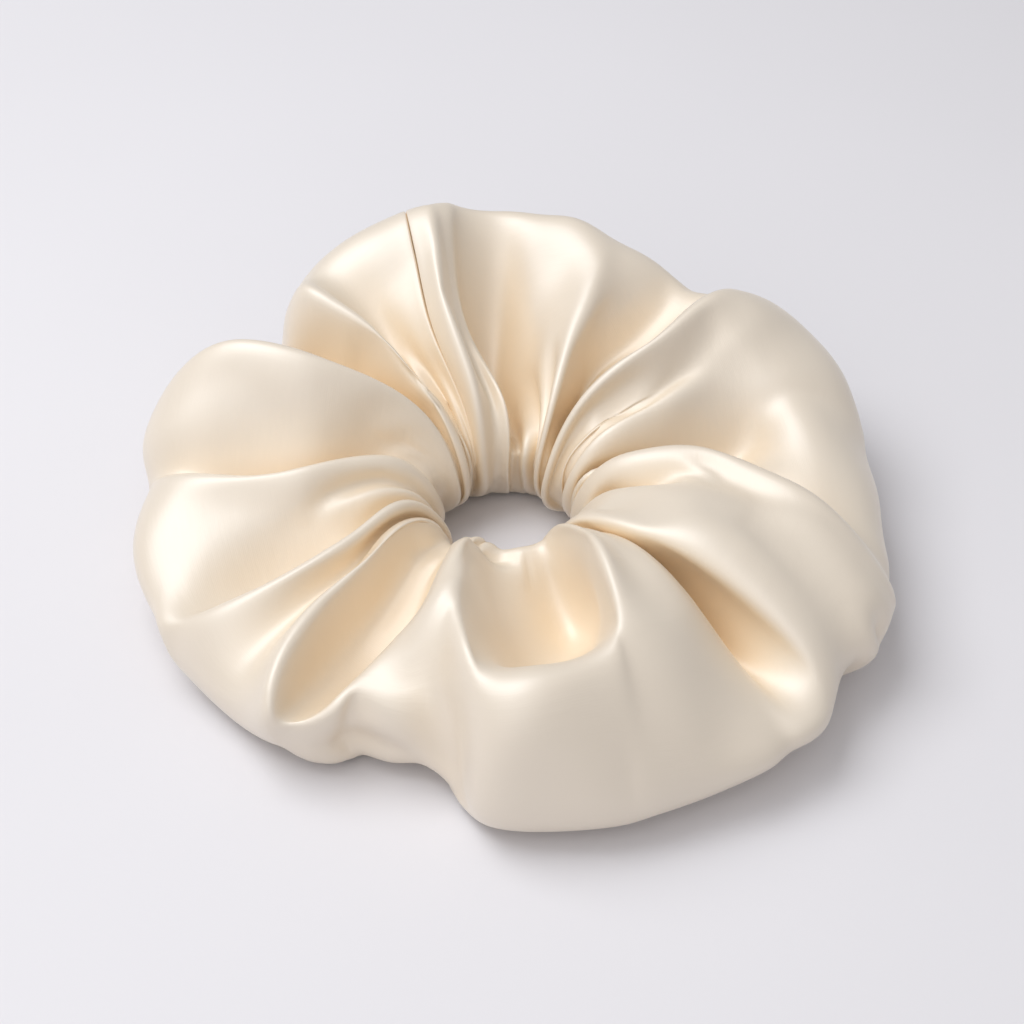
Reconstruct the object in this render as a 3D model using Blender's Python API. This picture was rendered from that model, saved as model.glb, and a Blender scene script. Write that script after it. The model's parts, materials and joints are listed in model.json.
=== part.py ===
"""Gathered hair scrunchie lying on a table.

A strip of satin is sewn into a tube along its length and its two ends are sewn together. An
elastic band with lapped ends runs round inside the tube, draws its inner side into gathers,
and lets the fuller outer side billow into lobes.

Frame: metres, +Z up, the table at z = 0, the origin below the middle of the whole outline.
"""

import bmesh
import bpy
from math import acos, cos, pi, radians, sin, sqrt
from mathutils import Vector

MM = 0.001

# Driving dimensions of the sleeve
HOLE_RADIUS = 9.5 * MM  # to the innermost gathers
HOLE_HEIGHT = 9.0 * MM  # where the hole is narrowest
FOOT_DEPTH = 20.0 * MM  # how far the section would reach below that without the table
COLLAR = 20.0 * MM  # least height of the gathers that stand round the elastic
COLLAR_SPREAD = 0.7  # share of the section's inner half over which the collar rises
CLOTH = 0.6 * MM  # thickness of the satin as a solid
GATHERS = 24
GATHER_DEPTH = 3.9 * MM
GATHER_FADE = 14.0 * MM  # how far from the hole the small gathers have died away

# Lobes and the notches between them: azimuth in degrees, rim radius and crest height in mm
OUTLINE = (
    (4, 57, 20), (17, 58, 23), (40, 59, 31), (50, 53, 24), (70, 54, 31), (92, 56, 34),
    (106, 58, 36), (130, 56, 31), (142, 50, 20), (158, 56, 32), (174, 55, 18), (184, 55, 22),
    (209, 55, 15), (220, 54, 20), (230, 52, 16), (238, 56, 21), (248, 54, 17), (258, 50, 24),
    (276, 58, 24), (294, 59, 26), (311, 60, 17), (320, 57, 23), (332, 60, 25), (347, 59, 22),
)

# Seams of the sleeve
SEAM_GAP = 0.3 * MM  # between the two layers of a seam
SEAM_RADIUS = 21.0 * MM  # of the long seam, on the underside
SEAM_LIFT = 1.0 * MM  # the long seam stands off the table by this much
ALLOWANCE = 5.0 * MM  # height of the long seam's allowances
JOIN_AZIMUTH = 107  # degrees, where the two ends of the sleeve meet
JOIN_CLEAR = 9  # degrees kept free of long-seam stitches on each side of the join
FLANGE = 5.0 * MM  # depth of the end allowances round the outer side of the tube
FLANGE_START, FLANGE_END = 0.06, 0.64  # shares of the way round the tube that they cover
FLANGE_TAPER = 0.12  # share over which they reach their depth
FULL_FLANGE = 0.8  # share of the depth from which they can hold stitches
HAND_SEWN = 55  # degrees of the long seam left open for the elastic, then closed by hand

# Elastic band
BAND_RADIUS = 15.5 * MM  # to the middle of its thickness
BAND_WIDTH = 6.0 * MM
BAND_THICK = 1.0 * MM
BAND_HEIGHT = 8.0 * MM  # of its middle above the table
BAND_START = 200  # degrees
LAP = 12.0 * MM
LAP_GAP = 0.25 * MM
LAP_RAMP = 60  # degrees over which the outer end climbs over the inner one
LAP_LEAD = 10  # degrees before the inner end by which it has climbed

# Sewing thread
THREAD = 0.3 * MM  # diameter
THREAD_GAP = 0.2 * MM  # to the layer that it lies on
STITCH = 2.8 * MM
STITCH_BOW = 0.12 * MM  # how far a stitch stands off between its needle holes
ZIGZAG = 0.9 * MM  # advance of one zigzag stitch on the elastic's lap
ZIGZAG_WIDTH = 3.6 * MM
SLIP_STITCH = 1.5 * MM
SLIP_WIDTH = 1.6 * MM
SLIP_HEIGHT = 0.45 * MM  # between the table and the seam's two lips

# How finely the solids are divided
STATIONS = 72  # sections round the ring
AROUND = 22  # spans round the tube
BAND_STEPS = 96
THREAD_SIDES = 6
SHARP = 40  # degrees between faces from which an edge stays sharp

IVORY = (0.87, 0.78, 0.66)
ELASTIC_WHITE = (0.86, 0.85, 0.82)
THREAD_CREAM = (0.85, 0.77, 0.66)


def smooth(t):
    t = min(1.0, max(0.0, t))
    return t * t * (3 - 2 * t)


# The sleeve's shape


def outline(azimuth):
    """Rim radius and crest height at an azimuth in degrees, eased between lobe and notch."""
    azimuth = azimuth % 360
    last, first = OUTLINE[-1], OUTLINE[0]
    keys = [(last[0] - 360, *last[1:]), *OUTLINE, (first[0] + 360, *first[1:])]
    for (a0, rim0, crest0), (a1, rim1, crest1) in zip(keys, keys[1:]):
        if azimuth <= a1:
            share = smooth((azimuth - a0) / (a1 - a0))
            return (rim0 + (rim1 - rim0) * share) * MM, (crest0 + (crest1 - crest0) * share) * MM


def station_azimuths():
    """Azimuths of the radial sections, leaving room for the end seam's flanges."""
    step = 360 / STATIONS
    return [JOIN_AZIMUTH + (i + 0.5) * step for i in range(1, STATIONS - 1)]


def ring_axis():
    """Where the ring's axis stands, so that the outline's box is centred on the origin."""
    rim = [(outline(a)[0], radians(a)) for a in station_azimuths()]
    across = [radius * cos(angle) for radius, angle in rim]
    along = [radius * sin(angle) for radius, angle in rim]
    return -(max(across) + min(across)) / 2, -(max(along) + min(along)) / 2


AXIS_X, AXIS_Y = ring_axis()


def place(radius, azimuth, z, off=0.0):
    """A point at a radius and azimuth about the ring's axis, moved off along the ring."""
    angle = radians(azimuth)
    return Vector((
        AXIS_X + radius * cos(angle) - off * sin(angle),
        AXIS_Y + radius * sin(angle) + off * cos(angle),
        z,
    ))


def skin_curve(azimuth):
    """The sleeve's outer skin as (radius, height): from the long seam out over the rim and back."""
    rim, crest = outline(azimuth)
    middle, half = (rim + HOLE_RADIUS) / 2, (rim - HOLE_RADIUS) / 2
    gather = GATHER_DEPTH * (0.5 - 0.5 * cos(GATHERS * radians(azimuth - JOIN_AZIMUTH)))
    start = -acos((SEAM_RADIUS - middle) / half)
    points = []
    for j in range(AROUND + 1):
        angle = start + 2 * pi * j / AROUND
        radius = middle + half * cos(angle)
        top = crest + (max(crest, COLLAR) - crest) * smooth(-cos(angle) / COLLAR_SPREAD)
        reach = top - HOLE_HEIGHT if sin(angle) > 0 else FOOT_DEPTH
        z = max(0.0, HOLE_HEIGHT + reach * sin(angle))
        radius += gather * (1 - smooth((radius - HOLE_RADIUS) / GATHER_FADE))
        points.append((radius, z))
    points[0] = (SEAM_RADIUS + SEAM_GAP / 2, SEAM_LIFT)
    points[-1] = (SEAM_RADIUS - SEAM_GAP / 2, SEAM_LIFT)
    return points


def inset(points, depths):
    """The open curve moved towards the inside of the tube by a depth at each point."""
    moved = []
    for j, (radius, z) in enumerate(points):
        r0, z0 = points[max(j - 1, 0)]
        r1, z1 = points[min(j + 1, len(points) - 1)]
        length = sqrt((r1 - r0) ** 2 + (z1 - z0) ** 2)
        moved.append((radius - (z1 - z0) / length * depths[j], z + (r1 - r0) / length * depths[j]))
    return moved


def flange_depth(j):
    """Depth of the end allowance at a point round the tube: none beside the elastic and seam."""
    share = j / AROUND
    rise = smooth((share - FLANGE_START) / FLANGE_TAPER)
    return FLANGE * rise * smooth((FLANGE_END - share) / FLANGE_TAPER)


def section(azimuth, flanged=False):
    """Closed outline of the sewn cloth at an azimuth, with the long seam's two allowances."""
    skin = skin_curve(azimuth)
    depths = [CLOTH + (flange_depth(j) if flanged else 0.0) for j in range(AROUND + 1)]
    lining = inset(skin, depths)
    lip, top = SEAM_GAP / 2, SEAM_LIFT + ALLOWANCE
    lining[0] = (SEAM_RADIUS + lip + CLOTH, SEAM_LIFT + CLOTH)
    lining[-1] = (SEAM_RADIUS - lip - CLOTH, SEAM_LIFT + CLOTH)
    skin = [(SEAM_RADIUS + lip, top), *skin, (SEAM_RADIUS - lip, top)]
    lining = [(SEAM_RADIUS + lip + CLOTH, top), *lining, (SEAM_RADIUS - lip - CLOTH, top)]
    return skin, lining


def sleeve_rings():
    """Sections from one sewn end of the sleeve to the other, each as skin points and lining points."""
    near, far = SEAM_GAP / 2, SEAM_GAP / 2 + CLOTH
    blend = far + SEAM_GAP
    first = [(JOIN_AZIMUTH, near, True), (JOIN_AZIMUTH, far, True), (JOIN_AZIMUTH, blend, False)]
    middle = [(azimuth, 0.0, False) for azimuth in station_azimuths()]
    last = [(azimuth, -off, flanged) for azimuth, off, flanged in reversed(first)]
    rings = []
    for azimuth, off, flanged in first + middle + last:
        skin, lining = section(azimuth, flanged)
        rings.append([[place(r, azimuth, z, off) for r, z in side] for side in (skin, lining)])
    return rings


# Turning points into solids


def add_object(name, mesh_or_curve, material):
    mesh_or_curve.materials.append(material)
    obj = bpy.data.objects.new(name, mesh_or_curve)
    bpy.context.scene.collection.objects.link(obj)
    return obj


def swept_mesh(name, sections):
    """Closed solid through a row of matching closed sections, each capped as a strip of quads."""
    bm = bmesh.new()
    rings = []
    for side_a, side_b in sections:
        rings.append([bm.verts.new(p) for p in [*side_a, *reversed(side_b)]])
    count = len(rings[0])
    for ring, following in zip(rings, rings[1:]):
        for j in range(count):
            k = (j + 1) % count
            bm.faces.new((ring[j], ring[k], following[k], following[j]))
    for ring in (rings[0], rings[-1]):
        for j in range(count // 2 - 1):
            bm.faces.new((ring[j], ring[j + 1], ring[count - 2 - j], ring[count - 1 - j]))
    bmesh.ops.recalc_face_normals(bm, faces=bm.faces)
    mesh = bpy.data.meshes.new(name)
    bm.to_mesh(mesh)
    bm.free()
    mesh.shade_smooth()
    mesh.set_sharp_from_angle(angle=radians(SHARP))
    return mesh


def thread_curve(name, points):
    """A sewing thread through the points, as a round tube with closed ends."""
    curve = bpy.data.curves.new(name, "CURVE")
    curve.dimensions = "3D"
    curve.bevel_depth = THREAD / 2
    curve.bevel_resolution = (THREAD_SIDES - 4) // 2
    curve.use_fill_caps = True
    spline = curve.splines.new("POLY")
    spline.points.add(len(points) - 1)
    for spline_point, point in zip(spline.points, points):
        spline_point.co = (*point, 1.0)
    return curve


def make_material(name, colour, roughness):
    material = bpy.data.materials.new(name)
    material.use_nodes = True
    shader = material.node_tree.nodes["Principled BSDF"]
    shader.inputs["Base Color"].default_value = (*colour, 1.0)
    shader.inputs["Roughness"].default_value = roughness
    shader.inputs["Metallic"].default_value = 0.0
    return material


# The pieces


def make_sleeve(material):
    add_object("satin_sleeve", swept_mesh("satin_sleeve", sleeve_rings()), material)


def band_radius(turned):
    """Radius to the middle of the band after turning this many degrees from its inner end."""
    climbed = smooth((turned - (360 - LAP_LEAD - LAP_RAMP)) / LAP_RAMP)
    return BAND_RADIUS + (BAND_THICK + LAP_GAP) * climbed


def lap_angle():
    return LAP / BAND_RADIUS * 180 / pi


def make_elastic(material):
    sections = []
    for i in range(BAND_STEPS + 1):
        turned = (360 + lap_angle()) * i / BAND_STEPS
        sides = []
        for side in (-1, 1):
            radius = band_radius(turned) + side * BAND_THICK / 2
            heights = (BAND_HEIGHT - BAND_WIDTH / 2, BAND_HEIGHT + BAND_WIDTH / 2)
            sides.append([place(radius, BAND_START + turned, z) for z in heights])
        sections.append(sides)
    add_object("elastic_band", swept_mesh("elastic_band", sections), material)


def make_lap_threads(material):
    """Zigzag stitches through the elastic's lap: one thread on its outer face, one on its inner."""
    stand_off = BAND_THICK / 2 + THREAD_GAP + THREAD / 2
    outer = BAND_RADIUS + BAND_THICK + LAP_GAP + stand_off
    inner = BAND_RADIUS - stand_off
    count = int(LAP / ZIGZAG) - 1
    for name, radius in (("lap_needle_thread", outer), ("lap_bobbin_thread", inner)):
        points = []
        for i in range(count + 1):
            azimuth = BAND_START + lap_angle() * (i + 0.5) / (count + 1)
            z = BAND_HEIGHT + ZIGZAG_WIDTH / 2 * (-1) ** i
            points.append(place(radius, azimuth, z))
        add_object(name, thread_curve(name, points), material)


def make_long_seam_threads(material):
    """Straight stitches along the long seam, one thread on each side of its allowances."""
    stand_off = SEAM_GAP / 2 + CLOTH + THREAD_GAP + THREAD / 2
    start = JOIN_AZIMUTH + JOIN_CLEAR + HAND_SEWN
    end = JOIN_AZIMUTH + 360 - JOIN_CLEAR
    half_stitches = 2 * int(radians(end - start) * SEAM_RADIUS / STITCH)
    for name, side in (("long_seam_needle_thread", 1), ("long_seam_bobbin_thread", -1)):
        points = []
        for i in range(half_stitches + 1):
            radius = SEAM_RADIUS + side * (stand_off + STITCH_BOW * (i % 2))
            azimuth = start + (end - start) * i / half_stitches
            points.append(place(radius, azimuth, SEAM_LIFT + ALLOWANCE / 2))
        add_object(name, thread_curve(name, points), material)


def make_hand_stitches(material):
    """Slip stitches that close the opening the elastic went in by, across the seam's two lips."""
    start = JOIN_AZIMUTH + JOIN_CLEAR
    count = int(radians(HAND_SEWN) * SEAM_RADIUS / SLIP_STITCH)
    points = []
    for i in range(count + 1):
        radius = SEAM_RADIUS + SLIP_WIDTH / 2 * (-1) ** i
        points.append(place(radius, start + HAND_SEWN * i / count, SLIP_HEIGHT))
    add_object("hand_stitch_thread", thread_curve("hand_stitch_thread", points), material)


def make_end_seam_threads(material):
    """Straight stitches through the two end allowances, round the outer side of the tube."""
    stand_off = SEAM_GAP / 2 + CLOTH + SEAM_GAP + THREAD_GAP + THREAD / 2
    inside = inset(skin_curve(JOIN_AZIMUTH), [CLOTH + FLANGE / 2] * (AROUND + 1))
    full = [j for j in range(AROUND + 1) if flange_depth(j) > FULL_FLANGE * FLANGE]
    path = [inside[j] for j in full]
    for name, side in (("end_seam_needle_thread", 1), ("end_seam_bobbin_thread", -1)):
        points = []
        for (r0, z0), (r1, z1) in zip(path, path[1:]):
            pieces = 2 * max(1, round(sqrt((r1 - r0) ** 2 + (z1 - z0) ** 2) / STITCH))
            for i in range(pieces):
                share = i / pieces
                off = side * (stand_off + STITCH_BOW * (i % 2))
                points.append(place(r0 + (r1 - r0) * share, JOIN_AZIMUTH, z0 + (z1 - z0) * share, off))
        points.append(place(r1, JOIN_AZIMUTH, z1, side * stand_off))
        add_object(name, thread_curve(name, points), material)


def main():
    for obj in list(bpy.data.objects):
        bpy.data.objects.remove(obj)
    satin = make_material("ivory_satin", IVORY, 0.35)
    elastic = make_material("braided_elastic", ELASTIC_WHITE, 0.8)
    thread = make_material("polyester_thread", THREAD_CREAM, 0.5)
    make_sleeve(satin)
    make_elastic(elastic)
    make_lap_threads(thread)
    make_long_seam_threads(thread)
    make_hand_stitches(thread)
    make_end_seam_threads(thread)


main()
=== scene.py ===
"""Looks of a gathered satin scrunchie lying on a table.

Metres, +Z up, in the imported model's frame. The ring is described about the elastic's axis: azimuth
in degrees (0 is +X, 90 is +Y), radius and height in millimetres.
"""
import json
from math import cos, pi, radians, sin

import bmesh
import bpy
import numpy as np
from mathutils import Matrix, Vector


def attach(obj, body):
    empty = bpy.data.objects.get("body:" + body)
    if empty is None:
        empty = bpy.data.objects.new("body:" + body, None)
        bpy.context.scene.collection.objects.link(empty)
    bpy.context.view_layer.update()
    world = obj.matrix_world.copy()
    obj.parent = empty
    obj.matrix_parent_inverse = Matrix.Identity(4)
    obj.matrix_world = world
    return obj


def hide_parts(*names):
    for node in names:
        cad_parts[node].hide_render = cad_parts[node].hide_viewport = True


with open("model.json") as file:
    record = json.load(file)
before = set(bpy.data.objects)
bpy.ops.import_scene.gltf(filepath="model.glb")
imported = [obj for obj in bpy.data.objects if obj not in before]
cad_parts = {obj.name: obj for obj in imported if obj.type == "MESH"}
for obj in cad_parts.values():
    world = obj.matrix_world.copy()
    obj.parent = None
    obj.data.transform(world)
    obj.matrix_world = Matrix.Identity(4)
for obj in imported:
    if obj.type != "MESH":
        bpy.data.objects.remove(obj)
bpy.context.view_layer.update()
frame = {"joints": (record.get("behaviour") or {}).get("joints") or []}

MM = 0.001
TURN = 2 * pi
AXIS = np.array([*frame["joints"][0]["pos_m"][:2], 0.0])

# The sleeve's folds, one radial section through the cloth per row, in order round the ring:
#   azimuth at radius 14, 26, 42 and at the rim | height at radius 14, 20, 28, 38 and the shoulder |
#   shoulder radius | rim radius and height | radius at the hole | amount of small gathers, 0 to 1
AZIMUTH_RADII = (14, 26, 42)
FOLDS = (
    ((15, 5, 0, -7), (14, 14, 14.5, 17.5, 18.5), 46, (57, 12), 12.0, 0.8),  # flank under the right lobe
    ((20, 13.5, 12, 6), (12.8, 12.8, 11.5, 14.5, 21), 45.5, (57, 12), 12.5, 0.8),  # hollow above it
    ((25, 19.5, 19, 13), (14.5, 16.5, 16, 18, 22.5), 46, (57.5, 13), 12.0, 1.0),
    ((31, 26, 23.5, 18), (16.5, 20.8, 22.5, 23.5, 24), 48, (58, 14), 10.5, 1.0),  # soft ridge
    ((38, 31, 29, 26), (14.5, 19, 23, 25.8, 26.5), 48, (59, 16), 12.0, 1.0),
    ((44, 35, 34, 35), (16, 21.5, 26, 28.5, 29), 48, (59.5, 16), 10.5, 1.0),
    ((49.5, 40.5, 40, 44), (17.5, 24, 28.5, 31, 30), 48, (58, 15), 10.0, 0.6),  # back right ridge
    ((52, 46, 43.5, 48.5), (12.5, 13.5, 16, 20.5, 26.5), 48, (54.5, 12), 12.5, 0.4),  # crease behind it
    ((55.5, 55, 49.5, 52), (14, 16.5, 18.5, 21.5, 25), 48, (53, 12), 11.8, 0.5),
    ((58.5, 61, 54, 56), (12.5, 13, 17, 22, 26), 48, (53, 13), 12.5, 0.4),
    ((60, 64, 62, 63), (14, 16, 22, 27, 28.5), 48, (53.5, 14.5), 12.0, 0.3),
    ((61.5, 66.5, 69, 70.5), (17, 22.5, 26.5, 30.5, 31.5), 48, (54, 16), 11.0, 0.4),  # back ridge
    ((64.5, 74, 77, 77.5), (15, 19.5, 24.5, 29.5, 33), 48, (54, 17), 12.2, 0.7),
    ((70, 82, 85, 84), (13.8, 16, 19, 25.5, 33), 48, (55, 17), 12.4, 0.6),
    ((79, 90, 92, 91.5), (12.2, 11.5, 12.5, 20.5, 33), 48, (55, 18), 12.8, 0.5),  # back hollow
    ((86.5, 99.5, 99.5, 97.5), (12.4, 12.2, 15, 24.5, 34.3), 48, (56, 18), 12.8, 0.4),
    ((88.5, 100.5, 102, 100.5), (17, 21, 24.5, 30, 35.2), 48, (57, 18), 11.3, 0.2),  # fold left of it
    ((96.5, 104.2, 104, 102.3), (16, 20.3, 25.3, 31.5, 35.7), 48, (57, 18), 12.0, 0.4),
    ((106, 108.5, 106.2, 104.3), (19, 25.5, 30.5, 34.3, 36), 48, (57, 18), 11.0, 0.4),
    ((111.5, 113.5, 111, 107), (15, 21, 26.5, 32.3, 35.5), 48, (58, 18), 12.2, 0.5),  # end seam
    ((117, 120, 120, 118), (14.5, 18.5, 22.5, 28.5, 33), 48, (57, 17), 12.5, 1.0),
    ((123, 126, 130, 131), (15, 18, 22, 27, 29.5), 47, (54, 14), 11.5, 1.0),
    ((128.5, 131.5, 137.5, 138), (18, 23.5, 28, 30.5, 29.5), 44, (50.5, 12), 10.0, 0.6),  # back left ridge
    ((130.5, 136, 142.5, 144), (13, 14.5, 17, 18.5, 18), 42, (46.5, 9), 12.5, 0.5),
    ((131.5, 143.5, 149, 150), (15.5, 20, 22.5, 23.5, 22.5), 44, (49.5, 11), 11.0, 0.7),
    ((132.5, 149.5, 153, 155), (13, 16.5, 21, 23, 23.5), 46, (54, 12), 12.5, 0.5),
    ((134.5, 153, 158, 161), (17.5, 24.5, 29.5, 31.5, 29.5), 48, (57, 13), 10.0, 0.4),  # left back ridge
    ((143, 162, 165, 167), (15, 20, 25, 28, 26.5), 48, (57, 13), 11.5, 0.6),
    ((155, 172, 173, 172), (13.5, 15.5, 18, 20, 20), 48, (56, 11), 12.0, 0.8),
    ((162, 179.5, 181, 174.5), (12.5, 13, 12.5, 14, 16.5), 48, (55, 10), 12.5, 0.4),
    ((167, 183, 185.5, 178), (16.5, 20, 21.5, 21, 19.5), 48, (55, 11), 10.0, 0.4),  # left ridge
    ((180, 190, 192, 189), (15, 18, 19, 18.5, 17.5), 48, (55, 11), 11.5, 0.8),
    ((190, 198, 200, 200), (14.5, 16.5, 15.5, 14, 14), 48, (55, 10), 11.5, 1.0),
    ((201, 211, 210, 207), (13.5, 14, 12.5, 11, 12.5), 48, (55, 10), 12.5, 0.8),  # left valley
    ((208, 217.5, 217, 212), (17, 20.5, 20.5, 19.5, 16.5), 48, (54, 8), 10.0, 0.5),  # left front ridge
    ((216, 222.5, 223.5, 224), (14.5, 17.5, 17.5, 16.5, 13), 48, (53, 7), 12.0, 0.8),
    ((222, 228, 229.5, 233), (16.5, 20.5, 20.5, 19, 18), 48, (54.5, 11), 10.5, 0.5),  # pocket's left rim
    ((227, 231, 232, 236), (13.5, 14, 12.5, 11.5, 12.8), 50, (53.8, 10.5), 12.0, 0.3),
    ((234, 238, 237, 239), (13.5, 14, 11.5, 9.5, 12), 49, (52.5, 10.5), 12.0, 0.2),  # pocket
    ((240, 244.5, 242, 242.5), (14.5, 15, 12.5, 11, 13.5), 46.5, (50, 11.5), 11.5, 0.3),
    ((246.5, 249.5, 246, 245.3), (16, 20, 21, 19, 16.5), 43, (47.8, 13), 10.5, 0.3),
    ((251.5, 254.5, 252, 250.5), (16.5, 21.5, 24, 22.5, 17.5), 43, (47.6, 12.5), 10.5, 0.3),  # front ridge
    ((256, 258.5, 258, 256.5), (16, 20.5, 24, 24.5, 20), 41.5, (47, 10), 11.0, 0.2),  # notch below it
    ((261, 262, 263, 263), (15.5, 17, 20.5, 24, 24), 44.5, (50, 6), 11.5, 0.1),
    ((268, 268, 268, 267.5), (14.8, 14.2, 14.5, 18.5, 24.5), 48, (56, 6.5), 12.0, 0.0),
    ((280, 280, 277.5, 276), (15.2, 12.2, 9.8, 12.5, 25), 48, (58.5, 8), 12.2, 0.0),  # dish
    ((293, 295, 288, 285), (15.6, 12.6, 10.8, 18.5, 25.5), 46.5, (59, 8), 11.8, 0.0),
    ((300.5, 296.3, 291, 290), (17.5, 22.5, 26, 26.5, 24), 47, (59, 8), 10.5, 0.1),  # ridge right of it
    ((303.2, 303, 299, 297), (16.5, 21.5, 25, 25, 22), 48, (59.5, 8), 11.0, 0.3),
    ((305.3, 312, 311, 306), (15, 19.5, 22, 21, 17), 48, (60.5, 9.5), 12.0, 0.4),
    ((306.5, 315.5, 316, 311), (12.5, 12.5, 11, 10, 12.5), 54, (60.5, 8.5), 12.5, 0.3),  # front right cleft
    ((307, 314.5, 320.5, 316.5), (14.5, 17.5, 18, 17.5, 15), 54, (60.5, 8.5), 12.0, 0.3),
    ((309, 313, 319.5, 320.5), (17, 22, 24, 23, 19), 51, (59, 9), 10.0, 0.2),  # front right edge
    ((316, 320, 325, 325), (17.5, 22.5, 25, 25, 21.5), 49, (57.5, 10), 10.5, 0.2),
    ((328, 331, 330.5, 330), (17, 21.8, 25, 25, 22), 48, (60, 11), 10.5, 0.2),
    ((344, 341, 336, 333.5), (16.3, 20.5, 23.5, 24, 22), 48, (60.5, 11), 11.0, 0.3),
    ((352, 349, 341, 337), (11.8, 16.2, 21.5, 23, 22.5), 48, (60, 12), 13.0, 0.3),  # pinch beside the hole
    ((358, 356, 345, 339.5), (15.8, 20.5, 22.5, 23.5, 22.5), 48, (60, 12), 11.5, 0.4),
    ((368, 362.5, 348.5, 342), (17, 21, 23, 23, 22), 48, (59, 11), 10.5, 0.4),  # right lobe's edge
    ((371.5, 363, 351, 346), (14, 16, 16, 16.5, 18.5), 46.5, (57, 11), 12.0, 0.4),
)
# Small dents (-) and bumps (+): azimuth, radius, height | depth | size along the radius, across, up
DENTS = (
    ((259, 15.2, 16), -2.0, (1.2, 4.2, 4)),  # crease behind the flap at the front of the hole
    ((255, 12.0, 14), 0.9, (2.2, 3.2, 3)),  # pleat end behind that crease
    ((352, 15.5, 13.5), -1.8, (2.2, 1.2, 3)),  # pinch beside the hole, right
    ((333, 60.5, 13), -1.8, (3, 2, 3.5)),  # dimple in the rim, right
    ((327, 59, 7), -1.4, (3, 2, 4)),
    ((247, 47.5, 7.5), -1.6, (6, 9, 2.6)),  # undercut below the lip between pocket and notch
    ((258.5, 46.5, 3), -1.4, (5, 4, 3)),  # under the notch
    ((292.5, 27, 14), -1.3, (6, 3, 5)),  # the dish's right wall
)
JOIN_FOLD = 19  # the row of FOLDS that the end seam follows
SEAM_RADIUS = 21.0  # of the long seam, on the underside
HOLE_HEIGHT = 9.0

# Small gathers near the elastic
GATHER_WAVES = (37, 23)
GATHER_HEIGHT = 1.2 * MM
GATHER_REACH = (34.0, 16.0)  # they grow inwards of this radius, to full size over this distance
GATHER_FOOT = (1.0, 4.0)  # and upwards of this height in the same way
FINE_SHARE = 0.35  # height of the second wave against the first
DRIFT_WAVES = (2, 3, 5, 7, 11)
DRIFT = 1.2

# Slight wrinkles on the open panels
WRINKLE_WAVES = 9
WRINKLE_HEIGHT = 0.26 * MM
WRINKLE_RADIUS = (22, 10)  # they grow outwards of this radius, to full size over this distance
WRINKLE_FOOT = (2, 6)  # and upwards of this height in the same way

# How finely the cloth is divided
COLUMNS, ROWS = 440, 96
SIM_COLUMNS, SIM_ROWS = 360, 66

# Cloth
CLOTH = 0.25 * MM
LIFT = 0.3 * MM  # of the cloth's middle above the table
SEAM_GAP = 0.28 * MM  # between the middles of a seam's two layers
SEAM_ROLL = 0.2 * MM  # radius of the turn from the outside into a seam
LONG_ALLOWANCE = 5.0 * MM
END_ALLOWANCE = 4.0 * MM
END_ALLOWANCE_LEAST = 0.12  # share of it that is left where it passes the elastic
END_ALLOWANCE_RADIUS = (19, 7)  # it grows outwards of this radius, to full over this distance
ROLL_ANGLES = (pi / 6, pi / 3, pi / 2)  # points of the turn into a seam
ALLOWANCE_ROWS = 3  # rows of points across an allowance, after its turn


# Smooth curves through the folds


def periodic_spline(knots, values, at, period):
    """Closed cubic spline through values at the knots, read at the given places."""
    count = len(knots)
    step = np.diff(np.append(knots, knots[0] + period))
    system = np.zeros((count, count))
    right = np.zeros_like(values)
    for i in range(count):
        before, after = (i - 1) % count, (i + 1) % count
        system[i, before] += step[before]
        system[i, i] += 2 * (step[before] + step[i])
        system[i, after] += step[i]
        rise = (values[after] - values[i]) / step[i]
        fall = (values[i] - values[before]) / step[before]
        right[i] = 6 * (rise - fall)
    bend = np.linalg.solve(system, right.reshape(count, -1)).reshape(values.shape)
    at = (np.asarray(at) - knots[0]) % period + knots[0]
    low = np.searchsorted(knots, at, side="right") - 1
    high = (low + 1) % count
    spread = (slice(None),) + (None,) * (values.ndim - 1)
    width = step[low][spread]
    b = ((at - knots[low]) / step[low])[spread]
    a = 1 - b
    curve = (a**3 - a) * bend[low] + (b**3 - b) * bend[high]
    return a * values[low] + b * values[high] + curve * width**2 / 6


def landmarks(fold):
    """A fold's section as (radius, azimuth, height), from the long seam out, over the rim and back."""
    azimuths, heights, shoulder, (rim, rim_height), hole, _ = fold
    radii = (*AZIMUTH_RADII, rim)
    shoulder = min(shoulder, rim - 3.5)
    tuck = max(1, min(6 + 0.35 * max(0, rim_height - 10), rim - 50.5))
    points = [
        (SEAM_RADIUS, 0.8),
        (rim - 22, 0.3),
        (rim - tuck, rim_height * 0.28),
        (rim, rim_height),
        (shoulder, heights[4]),
        (min(38, shoulder - 7), heights[3]),
        (28, heights[2]),
        (20, heights[1]),
        (14, heights[0]),
        (hole, HOLE_HEIGHT + 0.5),
        (hole + 1.5, 4.2),
        (17.0, 0.3),
    ]
    return [(radius, np.interp(radius, radii, azimuths), z) for radius, z in points]


def ring_points(polar):
    """(radius, azimuth, height) in mm and degrees to points in metres, along the last axis."""
    angle = np.radians(polar[..., 1])
    radius = polar[..., 0] * MM
    flat = [AXIS[0] + radius * np.cos(angle), AXIS[1] + radius * np.sin(angle)]
    return np.stack([*flat, polar[..., 2] * MM], -1)


def radius_of(points):
    return np.hypot(points[..., 0] - AXIS[0], points[..., 1] - AXIS[1])


def outward(grid):
    """Unit normals of a closed grid of points."""
    along = np.roll(grid, -1, 0) - np.roll(grid, 1, 0)
    across = np.roll(grid, -1, 1) - np.roll(grid, 1, 1)
    normal = np.cross(along, across)
    return normal / np.linalg.norm(normal, axis=-1, keepdims=True)


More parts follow.
